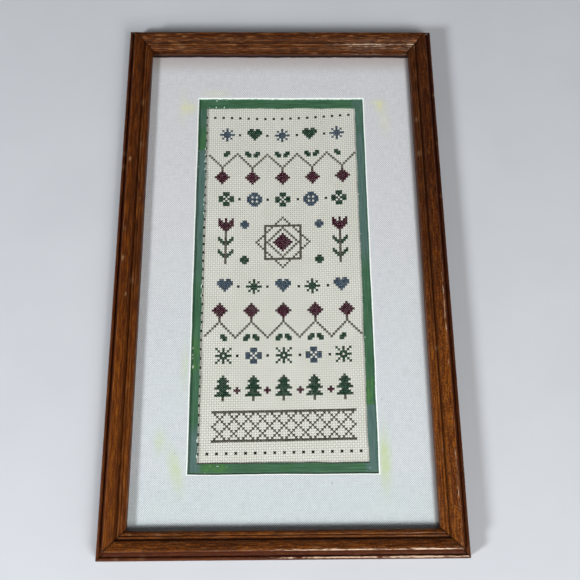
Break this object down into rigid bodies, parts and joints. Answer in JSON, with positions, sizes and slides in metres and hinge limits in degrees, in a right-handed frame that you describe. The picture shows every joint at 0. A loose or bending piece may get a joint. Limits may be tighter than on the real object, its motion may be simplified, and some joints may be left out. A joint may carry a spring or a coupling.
{
  "type": "framed cross stitch sampler",
  "caption": "Narrow cross stitch sampler on flat evenweave cloth behind a painted mat and a linen-covered mat, held with a backing board in a mitred moulded wooden frame",
  "frame": {"origin": "middle of the frame's back, which lies on the surface", "axes": "+X to the picture's right, +Y to its top, +Z out of its face"},
  "size_m": [0.268, 0.448, 0.0216],
  "materials": {
    "stained_oak": "satin",
    "linen_mat": "matte",
    "painted_mat": "matte",
    "evenweave": "matte",
    "backing": "matte"
  },
  "bodies": {
    "root": {"rail_top": "stained_oak", "rail_right": "stained_oak", "rail_bottom": "stained_oak", "rail_left": "stained_oak", "outer_mat": "linen_mat", "inner_mat": "painted_mat", "stitched_cloth": "evenweave", "backing_board": "backing"}
  },
  "joints": []
}
